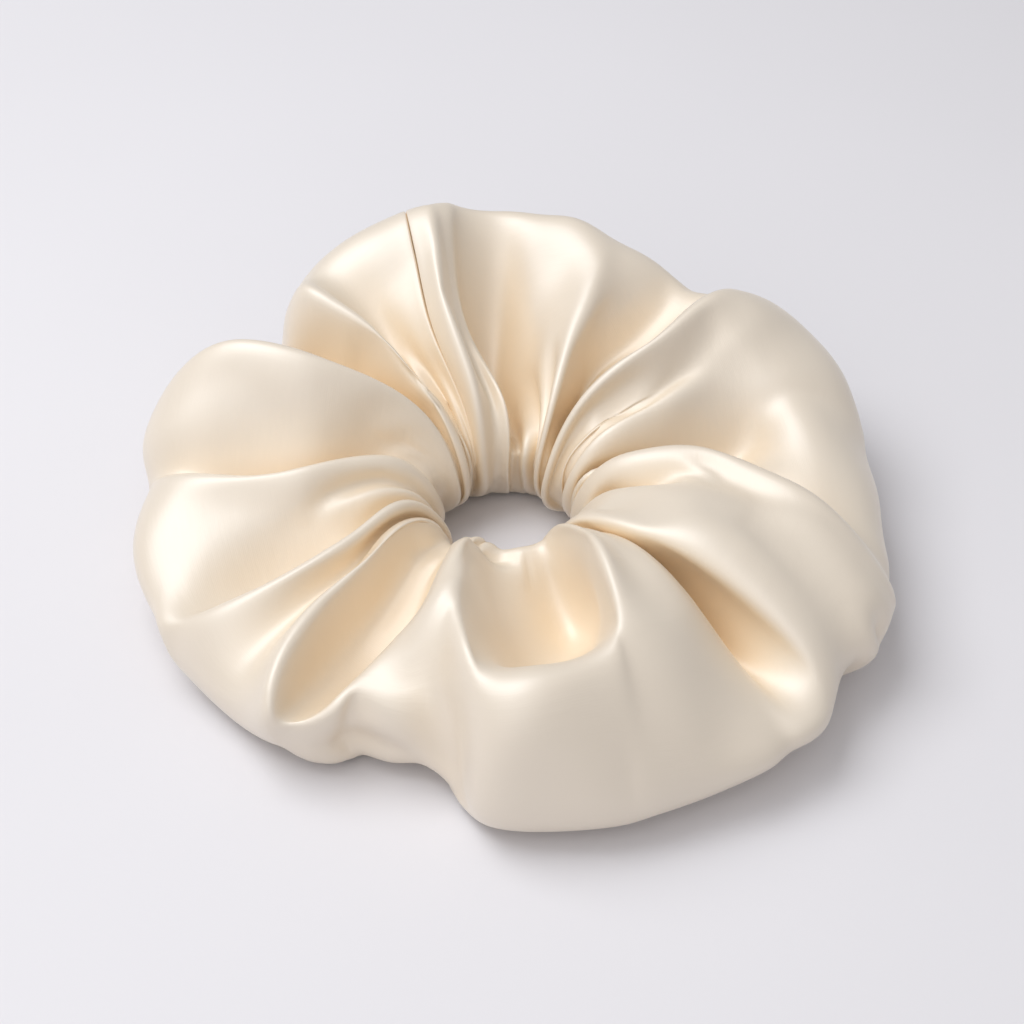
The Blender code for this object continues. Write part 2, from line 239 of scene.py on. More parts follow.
def fold_places():
    """Where each fold lies along the ring, from 0 to 1.

    The steps grow with the root of the distance between neighbours, which keeps the spline from
    swinging out beside a sharp fold and puts more columns there."""
    marks = ring_points(np.array([landmarks(fold) for fold in FOLDS]))
    gaps = np.linalg.norm((np.roll(marks, -1, 0) - marks)[:, 2:8], axis=-1).mean(1) ** 0.5
    return np.concatenate([[0], np.cumsum(gaps)[:-1]]) / gaps.sum()


def smoothed(t):
    t = np.clip(t, 0, 1)
    return t * t * (3 - 2 * t)


def add_gathers(grid, along, amount):
    """The small gathers that the elastic draws the cloth into round the hole."""
    rng = np.random.default_rng(4)
    drift = 0
    for k in DRIFT_WAVES:
        size = rng.uniform(-DRIFT, DRIFT) / k
        drift = drift + size * np.sin(k * along + rng.uniform(0, TURN))
    main, fine = GATHER_WAVES
    wave = np.cos(main * along + drift * 2.2) * (0.65 + 0.35 * np.sin(5 * along + 1 + drift))
    wave = wave + FINE_SHARE * np.cos(fine * along - drift * 2 + 1)
    start, over = GATHER_REACH
    fade = smoothed((start - radius_of(grid) / MM) / over)
    foot, rise = GATHER_FOOT
    fade = fade * np.clip((grid[..., 2] / MM - foot) / rise, 0, 1)
    push = (wave * amount)[:, None] * fade * GATHER_HEIGHT
    return grid + outward(grid) * push[..., None]


def add_dents(grid):
    for (azimuth, radius, z), depth, size in DENTS:
        angle = radians(azimuth)
        centre = ring_points(np.array([radius, azimuth, z]))
        away = grid - centre
        out = away[..., 0] * cos(angle) + away[..., 1] * sin(angle)
        side = away[..., 1] * cos(angle) - away[..., 0] * sin(angle)
        spread = (out / size[0]) ** 2 + (side / size[1]) ** 2 + (away[..., 2] / size[2]) ** 2
        push = depth * MM * np.exp(-spread / MM**2)
        grid = grid + outward(grid) * push[..., None]
    return grid


def add_wrinkles(grid):
    """Slight irregular wrinkles on the open panels, closed both ways round the tube."""
    rng = np.random.default_rng(11)
    columns, rows = grid.shape[:2]
    ring = np.linspace(0, TURN, columns, endpoint=False)[:, None]
    tube_turn = np.linspace(0, TURN, rows, endpoint=False)[None]
    wave = np.zeros((columns, rows))
    for _ in range(WRINKLE_WAVES):
        waves, twist = rng.integers(13, 34), rng.integers(-4, 5)
        slow, start, later = rng.integers(2, 6), rng.uniform(0, TURN), rng.uniform(0, TURN)
        lean = 0.8 * np.sin(slow * ring + later)
        size = 0.5 + 0.5 * np.sin((slow + 1) * ring + tube_turn * (1 + twist % 2) + start)
        wave += size * np.sin(waves * ring + twist * tube_turn + lean + start) * 20 / waves
    wave /= wave.std()
    radius, height = radius_of(grid) / MM, grid[..., 2] / MM
    start, over = WRINKLE_RADIUS
    foot, rise = WRINKLE_FOOT
    fade = smoothed((radius - start) / over) * smoothed((height - foot) / rise)
    return grid + outward(grid) * (wave * fade * WRINKLE_HEIGHT)[..., None]


def sculpted(columns, rows):
    """The folded tube as a grid of points, closed both ways.

    Columns follow each other round the ring, and the points of a column go round the tube."""
    marks = np.array([landmarks(fold) for fold in FOLDS])
    places = fold_places()
    along = np.linspace(0, 1, columns, endpoint=False)
    turned = marks.copy()
    turned[..., 1] -= (places * 360)[:, None]
    ribs = periodic_spline(places, turned, along, 1)
    ribs[..., 1] += (along * 360)[:, None]
    ribs = ring_points(ribs)
    steps = np.linalg.norm(np.roll(ribs, -1, 1) - ribs, axis=-1).mean(0)
    knots = np.concatenate([[0], np.cumsum(steps)[:-1]])
    across = np.linspace(0, steps.sum(), rows, endpoint=False)
    grid = periodic_spline(knots, ribs.transpose(1, 0, 2), across, steps.sum()).transpose(1, 0, 2)
    amount = periodic_spline(places, np.array([[fold[5]] for fold in FOLDS]), along, 1)[:, 0]
    turn = np.unwrap(np.arctan2(*(grid[:, rows // 2, 1::-1] - AXIS[1::-1]).T))
    grid = add_gathers(grid, turn, np.clip(amount, 0, 1))
    grid = add_wrinkles(add_dents(grid))
    grid[..., 2] = np.maximum(grid[..., 2], LIFT)
    return grid


# Cloth simulation

SIM_SCALE = 10.0  # the solver is steadier on a larger piece
SIM_FRAMES = 20
SIM_CAP = 0.9 * MM  # no point moves further than this
SIM_GROWTH = 0.035  # spare cloth that the solver lays in wrinkles
HELD_RADII = (14, 20)  # the cloth is held firmly inside the first, less and less up to the second
HELD_FIRMLY = 0.6
HELD_ON_TABLE = 0.2
HELD_LOOSELY = 0.1


def grid_faces(columns, rows, closed):
    """Quads of a grid of points stored column by column."""
    ends = (columns, rows) if closed else (columns - 1, rows - 1)
    i, j = np.meshgrid(np.arange(ends[0]), np.arange(ends[1]), indexing="ij")
    i1, j1 = (i + 1) % columns, (j + 1) % rows
    return np.stack([i * rows + j, i1 * rows + j, i1 * rows + j1, i * rows + j1], -1).reshape(-1, 4)


def new_mesh_object(name, points, faces):
    mesh = bpy.data.meshes.new(name)
    mesh.from_pydata(np.asarray(points).tolist(), [], np.asarray(faces).tolist())
    mesh.shade_smooth()
    obj = bpy.data.objects.new(name, mesh)
    bpy.context.scene.collection.objects.link(obj)
    return obj


def sim_table():
    floor = new_mesh_object("sim_table", [(-3, -3, 0), (3, -3, 0), (3, 3, 0), (-3, 3, 0)], [(0, 1, 2, 3)])
    floor.modifiers.new("collision", "COLLISION")
    floor.collision.thickness_outer = 0.004
    floor.collision.cloth_friction = 5
    return floor


def hold_gathers(obj, points):
    """Ties the cloth firmly to its place at the elastic, less on the table and loosely elsewhere."""
    radius = radius_of(points) / MM
    near, far = HELD_RADII
    firm = np.clip((far - radius) / (far - near), 0, 1) * HELD_FIRMLY
    hold = np.maximum(firm, HELD_LOOSELY)
    hold = np.maximum(hold, np.where(points[:, 2] < 2 * LIFT, HELD_ON_TABLE, 0))
    hold = np.round(hold, 2)
    group = obj.vertex_groups.new(name="held")
    for weight in np.unique(hold):
        group.add(np.nonzero(hold == weight)[0].tolist(), float(weight), "REPLACE")


def cloth_settings(obj):
    cloth = obj.modifiers.new("cloth", "CLOTH")
    cloth.point_cache.frame_end = SIM_FRAMES
    satin = cloth.settings
    satin.quality = 6
    satin.mass = 0.15
    satin.tension_stiffness = 15
    satin.compression_stiffness = 15
    satin.shear_stiffness = 5
    satin.bending_stiffness = 1.5
    satin.bending_damping = 0.5
    satin.vertex_group_mass = "held"
    satin.pin_stiffness = 1.0
    satin.shrink_min = -SIM_GROWTH
    satin.shrink_max = -SIM_GROWTH
    satin.effector_weights.gravity = 0.1
    cloth.collision_settings.distance_min = 0.004
    cloth.collision_settings.use_self_collision = False


def settled_shift(columns, rows):
    """How the simulated satin moves away from the sculpted shape, as a closed grid of vectors."""
    start = sculpted(columns, rows).reshape(-1, 3)
    floor = sim_table()
    obj = new_mesh_object("sim_sleeve", start * SIM_SCALE, grid_faces(columns, rows, True))
    hold_gathers(obj, start)
    cloth_settings(obj)
    for now in range(1, SIM_FRAMES + 1):
        bpy.context.scene.frame_set(now)
    evaluated = obj.evaluated_get(bpy.context.evaluated_depsgraph_get())
    end = np.array([v.co for v in evaluated.data.vertices]) / SIM_SCALE
    bpy.data.objects.remove(obj)
    bpy.data.objects.remove(floor)
    bpy.context.scene.frame_set(1)
    shift = end - start
    length = np.linalg.norm(shift, axis=1, keepdims=True)
    shift = shift * SIM_CAP * np.tanh(length / SIM_CAP) / np.maximum(length, 1e-9)
    return shift.reshape(columns, rows, 3)


def resampled(grid, columns, rows):
    """A closed grid read again at another number of columns and rows."""
    places = np.linspace(0, 1, columns, endpoint=False)
    grid = periodic_spline(np.linspace(0, 1, len(grid), endpoint=False), grid, places, 1)
    places = np.linspace(0, 1, rows, endpoint=False)
    knots = np.linspace(0, 1, grid.shape[1], endpoint=False)
    return periodic_spline(knots, grid.transpose(1, 0, 2), places, 1).transpose(1, 0, 2)


def sleeve_grid():
    grid = sculpted(COLUMNS, ROWS)
    grid = grid + resampled(settled_shift(SIM_COLUMNS, SIM_ROWS), COLUMNS, ROWS)
    grid[..., 2] = np.maximum(grid[..., 2], LIFT)
    return grid


# The sleeve


def opened(grid):
    """The closed grid as a strip: columns from one side of the end seam to the other, and rows from
    one side of the long seam to the other, each edge half a seam gap and a roll short of the seam."""
    join = fold_places()[JOIN_FOLD]
    near = int(join * len(grid))
    step = np.linalg.norm(grid[near + 1] - grid[near], axis=-1).mean()
    clear = (SEAM_GAP / 2 + SEAM_ROLL) / step / len(grid)
    around = np.linspace(join + clear, join + 1 - clear, COLUMNS)
    strip = periodic_spline(np.linspace(0, 1, len(grid), endpoint=False), grid, around, 1)
    length = np.linalg.norm(np.roll(grid, -1, 1) - grid, axis=-1).sum(1).mean()
    clear = (SEAM_GAP / 2 + SEAM_ROLL) / length
    through = np.linspace(clear, 1 - clear, ROWS)
    knots = np.linspace(0, 1, grid.shape[1], endpoint=False)
    return periodic_spline(knots, strip.transpose(1, 0, 2), through, 1).transpose(1, 0, 2)


def turned_in(edge, inner, inward, depth):
    """Rows that continue a cloth edge: a quarter turn inwards and then a flat allowance.

    edge and inner are the last two rows of points, inward the direction into the tube at each, and
    depth how far the allowance reaches. Returned from the edge on.
    """
    ahead = edge - inner
    ahead /= np.linalg.norm(ahead, axis=1, keepdims=True)
    inward = inward - (inward * ahead).sum(1, keepdims=True) * ahead
    inward /= np.linalg.norm(inward, axis=1, keepdims=True)
    rows = []
    for angle in ROLL_ANGLES:
        rows.append(edge + SEAM_ROLL * (sin(angle) * ahead + (1 - cos(angle)) * inward))
    turned = rows[-1]
    for k in range(1, ALLOWANCE_ROWS + 1):
        rows.append(turned + inward * (depth * k / ALLOWANCE_ROWS)[:, None])
    return rows


def end_allowance(points):
    """The end seam's allowance is full at the outer side and small where it passes the elastic."""
    radius = radius_of(points) / MM
    start, over = END_ALLOWANCE_RADIUS
    grown = smoothed((radius - start) / over)
    return END_ALLOWANCE * (END_ALLOWANCE_LEAST + (1 - END_ALLOWANCE_LEAST) * grown)


def open_normals(grid):
    """Normals of an open grid, pointing out of the tube."""
    normal = np.cross(np.gradient(grid, axis=0), np.gradient(grid, axis=1))
    return normal / np.linalg.norm(normal, axis=-1, keepdims=True)


def sleeve_patches(strip):
    """The cloth as open grids that share their edges: the strip with its long allowances, and the
    two end allowances."""
    depth = np.full(len(strip), LONG_ALLOWANCE)
    up = np.tile((0.0, 0.0, 1.0), (len(strip), 1))
    first = turned_in(strip[:, 0], strip[:, 1], up, depth)
    last = turned_in(strip[:, -1], strip[:, -2], up, depth)
    wide = np.stack([*reversed(first), *strip.transpose(1, 0, 2), *last], 1)
    inward = -open_normals(strip)
    patches = [wide]
    for near, beside, flip in ((0, 1, True), (-1, -2, False)):
        edge, inner = strip[near], strip[beside]
        rows = turned_in(edge, inner, inward[near], end_allowance(edge))
        rows = [edge, *rows]
        patches.append(np.stack(rows[::-1] if flip else rows, 0))
    return patches


def cloth_place(patch, columns_from, rows_from):
    """Where each point of a patch lies on the flat cloth, in metres along and across the strip."""
    along = np.linalg.norm(np.diff(patch, axis=0), axis=-1).mean(1)
    across = np.linalg.norm(np.diff(patch, axis=1), axis=-1).mean(0)
    u = columns_from + np.concatenate([[0], np.cumsum(along)])
    v = rows_from + np.concatenate([[0], np.cumsum(across)])
    return np.stack(np.meshgrid(u, v, indexing="ij"), -1)


def make_sleeve(strip, material):
    """One mesh of all the patches, its shared edges merged, then thickened."""
    points, faces, places, start = [], [], [], 0
    patches = sleeve_patches(strip)
    wide_place = cloth_place(patches[0], 0.0, 0.0)
    rows_from = wide_place[0, len(ROLL_ANGLES) + ALLOWANCE_ROWS, 1]
    ends = [(-END_ALLOWANCE, rows_from), (wide_place[-1, 0, 0], rows_from)]
    spots = [wide_place, *(cloth_place(p, *end) for p, end in zip(patches[1:], ends))]
    for patch, spot in zip(patches, spots):
        points.append(patch.reshape(-1, 3))
        places.append(spot.reshape(-1, 2))
        faces.append(grid_faces(*patch.shape[:2], False) + start)
        start += patch.shape[0] * patch.shape[1]
    obj = new_mesh_object("satin_sleeve_cloth", np.concatenate(points), np.concatenate(faces))
    mesh = obj.data
    layer = mesh.uv_layers.new(name="cloth")
    corner = np.empty(len(mesh.loops), int)
    mesh.loops.foreach_get("vertex_index", corner)
    layer.data.foreach_set("uv", np.concatenate(places)[corner].ravel())
    merge_edges(mesh)
    mesh.materials.append(material)
    thick = obj.modifiers.new("cloth_thickness", "SOLIDIFY")
    thick.thickness = CLOTH
    thick.offset = 0
    return obj


def merge_edges(mesh):
    """Joins the patches where their edge points coincide."""
    work = bmesh.new()
    work.from_mesh(mesh)
    bmesh.ops.remove_doubles(work, verts=work.verts, dist=1e-6)
    work.to_mesh(mesh)
    work.free()


# Threads and the elastic

THREAD = 0.13 * MM  # radius of the sewing thread
THREAD_GAP = 0.03 * MM  # between a thread and the layer that it lies on
STITCH = 2.8 * MM
STITCH_BOW = 0.1 * MM  # how far a stitch stands off between its needle holes
SLIP_STITCH = 1.5 * MM
SLIP_REACH = 0.8 * MM  # of a hand stitch to each side of the seam
SEWN_FROM, SEWN_TO = 171, 458  # azimuths of the machine-sewn part of the long seam
OPENING = 116, 171  # the part closed by hand
STEPS = 8  # points along one stitch
TABLE_GAP = 0.05 * MM  # least gap between the hand stitches and the table

BAND_RADIUS = 15.5
BAND_HEIGHT = 8.0
BAND_WIDTH = 6.0
BAND_THICK = 0.9
BAND_START = 200.0  # azimuth of its inner end
LAP = 12 / BAND_RADIUS  # angle that the ends overlap by
LAP_LIFT = 1.25  # of the outer end over the inner one
LAP_RAMP = 60.0  # degrees over which the outer end climbs
LAP_LEAD = 10.0  # degrees that it has finished climbing before the lap
BAND_STEPS, FACE_STEPS = 520, 48  # points along the band, and across one of its faces
BAND_EDGE = 0.03  # half the thickness of the band's thin edges
EDGE_POWER = 8  # how square the band's edges are
CORDS = 9  # ribs across the band
CORD_HEIGHT = 0.1
BRAID_TURNS = 150  # crossings along the band
BRAID_DEPTH = 0.25  # share of a cord's height that the braid takes away and adds
ZIGZAGS = 12  # legs of the zigzag
ZIGZAG_HALF = 1.8
ZIGZAG_BOW = 0.08
ZIGZAG_GAP = 0.05  # more room between these stitches and the cords
ZIGZAG_SPAN = (0.04, 0.92)  # where the stitches start on the lap, and the share that they cover


def grid_tube(name, rings, places, material):
    """A closed skin through rings of points, with flat ends and the given UVs."""
    count, sides = rings.shape[:2]
    faces = []
    for k in range(count - 1):
        for s in range(sides):
            a, b = k * sides + s, k * sides + (s + 1) % sides
            faces.append((a, b, b + sides, a + sides))
    faces.append(tuple(reversed(range(sides))))
    faces.append(tuple(range((count - 1) * sides, count * sides)))
    mesh = bpy.data.meshes.new(name)
    mesh.from_pydata(rings.reshape(-1, 3).tolist(), [], faces)
    mesh.shade_smooth()
    layer = mesh.uv_layers.new(name="cloth")
    spots = places.reshape(-1, 2)
    corner = np.empty(len(mesh.loops), int)
    mesh.loops.foreach_get("vertex_index", corner)
    layer.data.foreach_set("uv", spots[corner].ravel())
    mesh.materials.append(material)
    obj = bpy.data.objects.new(name, mesh)
    bpy.context.scene.collection.objects.link(obj)
    return obj


def lengths_along(path):
    return np.concatenate([[0], np.cumsum(np.linalg.norm(np.diff(path, axis=0), axis=1))])


def thread(name, path, up, material, sides=8):
    """A round thread through a list of points; up is any direction across it at each point."""
    ahead = np.gradient(path, axis=0)
    ahead /= np.linalg.norm(ahead, axis=1, keepdims=True)
    up = up - (up * ahead).sum(1, keepdims=True) * ahead
    up /= np.linalg.norm(up, axis=1, keepdims=True)
    side = np.cross(ahead, up)
    turn = np.linspace(0, TURN, sides, endpoint=False)
    round_it = np.cos(turn)[:, None] * side[:, None] + np.sin(turn)[:, None] * up[:, None]
    rings = path[:, None] + THREAD * round_it
    places = np.stack(np.meshgrid(lengths_along(path), turn * THREAD, indexing="ij"), -1)
    return grid_tube(name + "_sewn", rings, places, material)


def read_along(path, values, at):
    """Values read at lengths along a path."""
    length = lengths_along(path)
    return np.stack([np.interp(at, length, values[:, k]) for k in range(values.shape[1])], 1)


def stitched(name, line, across, stand_off, material):
    """Straight machine stitches beside a line, standing off to one side of it."""
    total = lengths_along(line)[-1]
    stitches = int(total / STITCH)
    at = np.linspace(0, total, stitches * STEPS + 1)
    bow = STITCH_BOW * np.abs(np.sin(np.linspace(0, stitches * pi, len(at))))
    side = read_along(line, across, at)
    side /= np.linalg.norm(side, axis=1, keepdims=True)
    points = read_along(line, line, at) + side * np.sign(stand_off) * (abs(stand_off) + bow)[:, None]
    return thread(name, points, side, material)


def azimuths_of(points):
    """Unwrapped azimuth in degrees of a line of points that goes once round the ring."""
    return np.degrees(np.unwrap(np.arctan2(points[:, 1] - AXIS[1], points[:, 0] - AXIS[0])))


def beside_seam():
    """How far a seam's threads lie from its middle: half the gap, one cloth and the thread."""
    return SEAM_GAP / 2 + CLOTH / 2 + THREAD_GAP + THREAD


def sleeve_threads(strip, material):
    """The threads of the long seam, of the hand-sewn opening and of the end seam."""
    wide, first_end, last_end = sleeve_patches(strip)
    inner = (wide[:, 1] + wide[:, 2]) / 2
    outer = (wide[:, -2] + wide[:, -3]) / 2
    middle = (inner + outer) / 2
    azimuth = azimuths_of(middle)
    sewn = (azimuth > SEWN_FROM) & (azimuth < SEWN_TO)
    across = (outer - inner)[sewn]
    threads = {}
    for name, side in (("long_seam_needle_thread", 1), ("long_seam_bobbin_thread", -1)):
        threads[name] = stitched(name, middle[sewn], across, side * beside_seam(), material)
    threads["hand_stitch_thread"] = hand_stitches(strip, azimuth, material)
    first = (first_end[1] + first_end[2]) / 2
    last = (last_end[-2] + last_end[-3]) / 2
    middle = (first + last) / 2
    round_rim = end_allowance(middle) > 0.9 * END_ALLOWANCE
    along = strip[1] - strip[0] + strip[-1] - strip[-2]
    for name, side in (("end_seam_needle_thread", 1), ("end_seam_bobbin_thread", -1)):
        off = side * beside_seam()
        threads[name] = stitched(name, middle[round_rim], along[round_rim], off, material)
    return threads


def hand_stitches(strip, azimuth, material):
    """Slip stitches that zigzag from one lip of the long seam to the other, under the sleeve."""
    normal = open_normals(strip)
    off = CLOTH / 2 + THREAD_GAP + THREAD
    opening = (azimuth > OPENING[0]) & (azimuth < OPENING[1])
    row_step = np.linalg.norm(strip[:, 1] - strip[:, 0], axis=1).mean()
    share = (SLIP_REACH - SEAM_GAP / 2 - SEAM_ROLL) / row_step
    lips = []
    for edge, beside in ((0, 1), (-1, -2)):
        lip = strip[:, edge] * (1 - share) + strip[:, beside] * share + normal[:, edge] * off
        lips.append(lip[opening])
    total = lengths_along(lips[0])[-1]
    stitches = int(total / SLIP_STITCH)
    at = np.linspace(0, 1, stitches * STEPS + 1)
    sway = (0.5 + 0.5 * np.cos(at * stitches * pi))[:, None]
    sides = [read_along(lip, lip, at * lengths_along(lip)[-1]) for lip in lips]
    points = sides[0] * (1 - sway) + sides[1] * sway
    points[:, 2] = np.maximum(points[:, 2], THREAD + TABLE_GAP)
    up = np.tile((0.0, 0.0, 1.0), (len(points), 1))
    return thread("hand_stitch_thread", points, up, material)


def band_radius(turned):
    """Radius to the middle of the band, in mm, after turning this many degrees from its inner end."""
    climbed = smoothed((turned - (360 - LAP_LEAD - LAP_RAMP)) / LAP_RAMP)
    return BAND_RADIUS + LAP_LIFT * climbed


def make_elastic(material):
    """The flat braided band: cords side by side, crossed by the braid, one end lapped over the other."""
    turned = np.linspace(0, 360 + np.degrees(LAP), BAND_STEPS)
    across = np.linspace(-1, 1, FACE_STEPS)
    edge = np.sqrt(np.clip(1 - np.abs(across) ** EDGE_POWER, 0.0, 1))
    cord = np.abs(np.sin(across * CORDS * pi / 2))
    rings = np.empty((BAND_STEPS, 2 * FACE_STEPS, 3))
    places = np.empty((BAND_STEPS, 2 * FACE_STEPS, 2))
    lean = np.where(np.floor((across + 1) * CORDS / 2) % 2 == 0, 1, -1)
    for k, angle in enumerate(turned):
        phase = angle / 360 * TURN * BRAID_TURNS + lean * across * CORDS * 2
        braid = 1 - BRAID_DEPTH + BRAID_DEPTH * np.sin(phase)
        half = edge * (BAND_THICK / 2 - CORD_HEIGHT) + CORD_HEIGHT * cord * braid * edge + BAND_EDGE
        for face, order in ((-1, slice(None)), (1, slice(None, None, -1))):
            radius = band_radius(angle) + face * half[order]
            z = BAND_HEIGHT + BAND_WIDTH / 2 * across[order]
            spots = slice(0, FACE_STEPS) if face < 0 else slice(FACE_STEPS, None)
            polar = np.stack([radius, np.full(FACE_STEPS, BAND_START + angle), z], -1)
            rings[k, spots] = ring_points(polar)
            places[k, spots, 0] = radians(angle) * BAND_RADIUS * MM
            places[k, spots, 1] = across[order] * BAND_WIDTH / 2 * MM
    return grid_tube("elastic_band_braid", rings, places, material)


def lap_threads(material):
    """Zigzag stitches through the elastic's lap, one thread on each face."""
    stand_off = BAND_THICK / 2 + (THREAD_GAP + THREAD) / MM + ZIGZAG_GAP
    start, covered = ZIGZAG_SPAN
    sides = {
        "lap_needle_thread": BAND_RADIUS + LAP_LIFT + stand_off,
        "lap_bobbin_thread": BAND_RADIUS - stand_off,
    }
    threads = {}
    for name, radius in sides.items():
        at = np.linspace(0, 1, ZIGZAGS * STEPS + 1)
        zigzag = 1 - 2 * np.abs((at * ZIGZAGS) % 2 - 1)
        bow = np.sign(radius - BAND_RADIUS) * ZIGZAG_BOW * np.abs(np.sin(at * ZIGZAGS * pi))
        azimuth = BAND_START + np.degrees(LAP) * (start + covered * at)
        z = BAND_HEIGHT + ZIGZAG_HALF * np.sin(zigzag * pi / 2)
        points = ring_points(np.stack([radius + bow, azimuth, z], -1))
        out = points - AXIS
        out[:, 2] = 0
        threads[name] = thread(name, points, out, material)
    return threads


# Materials

IVORY_LOW = (0.70, 0.60, 0.485)
IVORY_HIGH = (0.765, 0.675, 0.56)
PAINTED_CREASE_GLOW = (0.87, 0.67, 0.42)  # painted warm glow in the folds, standing in for light that bounces between the layers and passes through the cloth
PAINTED_GLOW_REACH = 12 * MM  # how far away other cloth still counts as a fold that gets the painted glow
SATIN_ROUGHNESS = (0.46, 0.54)
THREAD_LOW, THREAD_HIGH = (0.72, 0.63, 0.5), (0.88, 0.8, 0.68)
ELASTIC_LOW, ELASTIC_HIGH = (0.66, 0.64, 0.6), (0.86, 0.85, 0.82)
TABLE_LOW, TABLE_HIGH = (0.705, 0.69, 0.715), (0.74, 0.725, 0.75)
BAND_WAVE = 0.314  # a band texture repeats after about this length at scale 1


def new_material(name):
    material = bpy.data.materials.new(name)
    material.use_nodes = True
    tree = material.node_tree
    return material, tree, tree.nodes["Principled BSDF"]


def add_node(tree, kind, **values):
    """A node with its properties and input sockets set by name."""
    node = tree.nodes.new(kind)
    for key, value in values.items():
        if hasattr(node, key):
            setattr(node, key, value)
        else:
            node.inputs[key.replace("_", " ").title()].default_value = value
    return node


def scaled_uv(tree, along, across):
    """The flat cloth's coordinates times a scale along and across."""
    uv = add_node(tree, "ShaderNodeUVMap", uv_map="cloth")
    mapping = add_node(tree, "ShaderNodeMapping")
    mapping.inputs["Scale"].default_value = (along, across, 1)
    tree.links.new(uv.outputs["UV"], mapping.inputs["Vector"])
    return mapping.outputs["Vector"]


def mixed(tree, share, low, high):
    """Colour from low to high, each a colour or a socket, by a share socket."""
    mix = add_node(tree, "ShaderNodeMix", data_type="RGBA")
    for place, colour in ((6, low), (7, high)):
        if isinstance(colour, tuple):
            mix.inputs[place].default_value = (*colour, 1)
        else:
            tree.links.new(colour, mix.inputs[place])
    tree.links.new(share, mix.inputs[0])
    return mix.outputs[2]


def ranged(tree, value, low, high):
    """A value socket from 0 to 1 taken to low to high."""
    node = add_node(tree, "ShaderNodeMapRange")
    node.inputs["To Min"].default_value = low
    node.inputs["To Max"].default_value = high
    tree.links.new(value, node.inputs["Value"])
    return node.outputs["Result"]


def noise(tree, vector, scale, detail=3.0):
    node = add_node(tree, "ShaderNodeTexNoise", scale=scale, detail=detail)
    tree.links.new(vector, node.inputs["Vector"])
    return node.outputs["Fac"]


def bumped(tree, heights, shader):
    """Bumps from (height socket, strength, distance in metres), one after another."""
    last = None
    for height, strength, distance in heights:
        bump = add_node(tree, "ShaderNodeBump")
        bump.inputs["Strength"].default_value = strength
        bump.inputs["Distance"].default_value = distance
        tree.links.new(height, bump.inputs["Height"])
        if last:
            tree.links.new(last, bump.inputs["Normal"])
        last = bump.outputs["Normal"]
    tree.links.new(last, shader.inputs["Normal"])


def satin_material():
    material, tree, shader = new_material("ivory_satin")
    slow = noise(tree, scaled_uv(tree, 30, 45), 1.0)
    streaks = noise(tree, scaled_uv(tree, 250, 2600), 1.0, 2.0)
    floats = add_node(tree, "ShaderNodeTexWave", wave_type="BANDS", bands_direction="Y")
    floats.inputs["Scale"].default_value = 1.0
    floats.inputs["Distortion"].default_value = 0.6
    tree.links.new(scaled_uv(tree, 900, 1100), floats.inputs["Vector"])
    # Ambient occlusion finds the folds, where a painted warm glow stands in for bounced and transmitted
    # light
    folded = add_node(tree, "ShaderNodeAmbientOcclusion", samples=8, only_local=True)
    folded.inputs["Distance"].default_value = PAINTED_GLOW_REACH
    open_share = ranged(tree, folded.outputs["AO"], 0.0, 1.0)
    ivory = mixed(tree, slow, IVORY_LOW, IVORY_HIGH)
    # the base colour goes from the painted crease glow in the folds to the ivory on open cloth
    tree.links.new(mixed(tree, open_share, PAINTED_CREASE_GLOW, ivory), shader.inputs["Base Color"])
    tree.links.new(ranged(tree, streaks, *SATIN_ROUGHNESS), shader.inputs["Roughness"])
    crumple = noise(tree, scaled_uv(tree, 140, 210), 1.0, 4.0)
    weave = floats.outputs["Fac"]
    heights = [(crumple, 0.25, 0.4 * MM), (streaks, 0.10, 0.12 * MM), (weave, 0.06, 0.05 * MM)]
    bumped(tree, heights, shader)
    shader.inputs["Sheen Weight"].default_value = 0.25
    shader.inputs["Sheen Roughness"].default_value = 0.35
    shader.inputs["Sheen Tint"].default_value = (1.0, 0.95, 0.88, 1)
    shader.inputs["IOR"].default_value = 2.1
    shader.inputs["Coat Weight"].default_value = 0.8
    shader.inputs["Coat Roughness"].default_value = 0.42
    return material


def thread_material():
    material, tree, shader = new_material("polyester_thread")
    twist = add_node(tree, "ShaderNodeTexWave", wave_type="BANDS", bands_direction="DIAGONAL")
    twist.inputs["Scale"].default_value = 1.0
    tree.links.new(scaled_uv(tree, 1400, 900), twist.inputs["Vector"])
    fibres = noise(tree, scaled_uv(tree, 3000, 9000), 1.0)
    colour = mixed(tree, twist.outputs["Fac"], THREAD_LOW, THREAD_HIGH)
    tree.links.new(colour, shader.inputs["Base Color"])
    tree.links.new(ranged(tree, fibres, 0.45, 0.6), shader.inputs["Roughness"])
    bumped(tree, [(twist.outputs["Fac"], 0.6, 0.06 * MM), (fibres, 0.2, 0.02 * MM)], shader)
    shader.inputs["Sheen Weight"].default_value = 0.2
    return material


def elastic_material():
    material, tree, shader = new_material("braided_elastic")
    cords = add_node(tree, "ShaderNodeTexWave", wave_type="BANDS", bands_direction="Y")
    cords.inputs["Scale"].default_value = 1.0
    tree.links.new(scaled_uv(tree, 0, CORDS / BAND_WIDTH / MM * BAND_WAVE), cords.inputs["Vector"])
    braid = add_node(tree, "ShaderNodeTexWave", wave_type="BANDS", bands_direction="DIAGONAL")
    braid.inputs["Scale"].default_value = 1.0
    braid.inputs["Distortion"].default_value = 0.8
    tree.links.new(scaled_uv(tree, 700, 500), braid.inputs["Vector"])
    fibres = noise(tree, scaled_uv(tree, 2500, 9000), 1.0, 3.0)
    colour = mixed(tree, cords.outputs["Fac"], ELASTIC_LOW, ELASTIC_HIGH)
    tree.links.new(colour, shader.inputs["Base Color"])
    tree.links.new(ranged(tree, fibres, 0.7, 0.9), shader.inputs["Roughness"])
    bumped(tree, [(braid.outputs["Fac"], 0.5, 0.12 * MM), (fibres, 0.35, 0.04 * MM)], shader)
    shader.inputs["Sheen Weight"].default_value = 0.15
    return material


